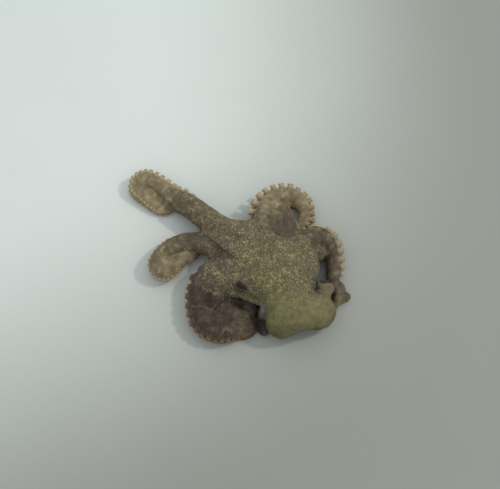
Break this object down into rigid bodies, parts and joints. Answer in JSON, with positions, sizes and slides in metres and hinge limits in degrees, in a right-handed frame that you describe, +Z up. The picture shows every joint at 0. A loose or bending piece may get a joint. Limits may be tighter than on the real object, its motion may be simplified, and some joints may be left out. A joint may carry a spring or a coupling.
{
  "type": "octopus",
  "caption": "Young octopus crouched on the floor with arms curled round it, mottled skin, paired rows of suckers, head and drooping mantle at one side.",
  "frame": {"origin": "centre of the posed animal's bounding box, on the floor it rests on", "axes": "+X towards the arms on the animal's lower right, along the longest extent; +Y away from the mantle, towards the looped arm; +Z up, the shortest extent"},
  "size_m": [0.092, 0.0806, 0.021],
  "materials": {
    "skin": "moist, finely granular, mottled olive brown",
    "eye": "wet, dark, with a narrow dark pupil"
  },
  "bodies": {
    "root": {"web": "skin", "head": "skin", "mantle": "skin", "funnel": "skin", "arm_left_1_base": "skin", "arm_left_1_middle": "skin", "arm_left_1_end": "skin", "arm_left_2_base": "skin", "arm_left_2_middle": "skin", "arm_left_3_base": "skin", "arm_left_3_middle": "skin", "arm_left_4_base": "skin", "arm_left_4_middle": "skin", "arm_right_1_base": "skin", "arm_right_1_middle": "skin", "arm_right_1_end": "skin", "arm_right_2_base": "skin", "arm_right_2_middle": "skin", "arm_right_2_end": "skin", "arm_right_3_base": "skin", "arm_right_3_middle": "skin", "arm_right_4_base": "skin", "arm_right_4_middle": "skin", "eye_left": "eye", "eye_right": "eye"}
  },
  "joints": []
}
